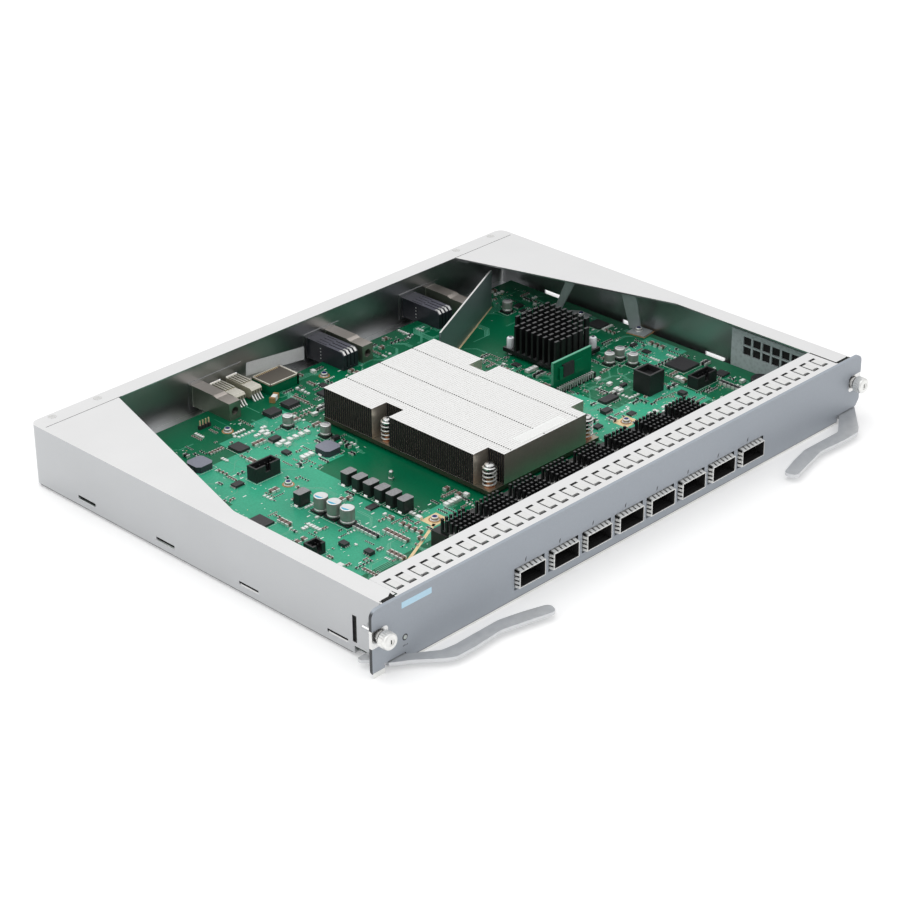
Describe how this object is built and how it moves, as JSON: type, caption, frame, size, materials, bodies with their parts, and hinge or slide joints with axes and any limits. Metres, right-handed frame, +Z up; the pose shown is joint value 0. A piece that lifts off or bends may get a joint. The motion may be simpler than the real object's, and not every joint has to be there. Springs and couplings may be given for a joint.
{
  "type": "switch line card",
  "caption": "Open steel tray with a circuit board, finned heatsinks, optical module cages behind a slotted front panel, ejector levers and captive thumbscrews.",
  "frame": {"origin": "centre of the underside of the tray floor", "axes": "+X along the front panel to its right end, -Y out of the front panel, +Z up"},
  "size_m": [0.4, 0.31, 0.0392],
  "materials": {
    "zinc_sheet": "satin zinc-coated sheet",
    "steel_hardware": "bright plated",
    "brass_hardware": "plain",
    "spring_steel": "bright",
    "plated_lever": "satin plated",
    "panel_paint": "fine satin grey-blue paint",
    "solder_mask": "green solder mask",
    "heatsink_metal": "bare",
    "black_heatsink": "black anodised",
    "chip_black": "moulded",
    "black_plastic": "moulded",
    "ferrite": "sintered",
    "can_aluminium": "lacquered can",
    "beige_plastic": "moulded",
    "cast_metal": "cast, nickel plated",
    "cage_metal": "nickel plated",
    "clear_pipe": "clear"
  },
  "bodies": {
    "card": {"tray": "zinc_sheet", "rear_panel": "zinc_sheet", "vent_bracket": "zinc_sheet", "air_baffle": "zinc_sheet", "front_brace": "zinc_sheet", "rear_brace": "zinc_sheet", "front_frame": "zinc_sheet", "rear_screws": "steel_hardware", "board_screws": "steel_hardware", "heatsink_screws": "steel_hardware", "heatsink_springs": "steel_hardware", "lever_rivets": "steel_hardware", "ferrules": "steel_hardware", "board_standoffs": "brass_hardware", "gasket_fingers": "spring_steel", "heatsink_clips": "spring_steel", "front_panel": "panel_paint", "circuit_board": "solder_mask", "daughter_board": "solder_mask", "heatsink_base": "heatsink_metal", "heatsink_fins": "heatsink_metal", "pin_heatsink": "black_heatsink", "cage_heatsinks": "black_heatsink", "switch_chip": "chip_black", "bridge_chip": "chip_black", "board_chips": "chip_black", "power_inductors": "chip_black", "board_post": "steel_hardware", "buzzer": "chip_black", "service_socket": "black_plastic", "box_headers": "black_plastic", "push_pins": "black_plastic", "daughter_header": "black_plastic", "module_connectors": "black_plastic", "flat_inductors": "ferrite", "tall_capacitors": "can_aluminium", "small_capacitors": "can_aluminium", "power_connectors": "beige_plastic", "signal_connector": "beige_plastic", "backplane_connector_left": "black_plastic", "backplane_connector_right": "black_plastic", "guide_block_left": "cast_metal", "guide_block_centre": "cast_metal", "guide_block_right": "cast_metal", "light_pipe": "clear_pipe", "cage_1": "cage_metal", "cage_2": "cage_metal", "cage_3": "cage_metal", "cage_4": "cage_metal", "cage_5": "cage_metal", "cage_6": "cage_metal", "cage_7": "cage_metal", "cage_8": "cage_metal"},
    "left_lever": {"lever_left": "plated_lever"},
    "right_lever": {"lever_right": "plated_lever"},
    "left_carriage": {"retainer_left": "steel_hardware"},
    "right_carriage": {"retainer_right": "steel_hardware"},
    "left_screw": {"thumbscrew_left": "steel_hardware"},
    "right_screw": {"thumbscrew_right": "steel_hardware"}
  },
  "joints": [
    {"name": "lever_left_pivot", "type": "hinge", "parent": "card", "child": "left_lever", "pos_m": [-0.181, -0.1335, 0.0023], "axis": [0, 0, 1], "range_deg": [-30, 0]},
    {"name": "lever_right_pivot", "type": "hinge", "parent": "card", "child": "right_lever", "pos_m": [0.181, -0.1335, 0.0023], "axis": [0, 0, 1], "range_deg": [0, 30]},
    {"name": "screw_left_slide", "type": "slide", "parent": "card", "child": "left_carriage", "axis": [0, -1, 0], "range_m": [0, 0.0038]},
    {"name": "screw_left_turn", "type": "hinge", "parent": "left_carriage", "child": "left_screw", "pos_m": [-0.1939, -0.1415, 0.0202], "axis": [0, -1, 0], "continuous": true},
    {"name": "screw_right_slide", "type": "slide", "parent": "card", "child": "right_carriage", "axis": [0, -1, 0], "range_m": [0, 0.0038]},
    {"name": "screw_right_turn", "type": "hinge", "parent": "right_carriage", "child": "right_screw", "pos_m": [0.1939, -0.1415, 0.0202], "axis": [0, -1, 0], "continuous": true}
  ]
}
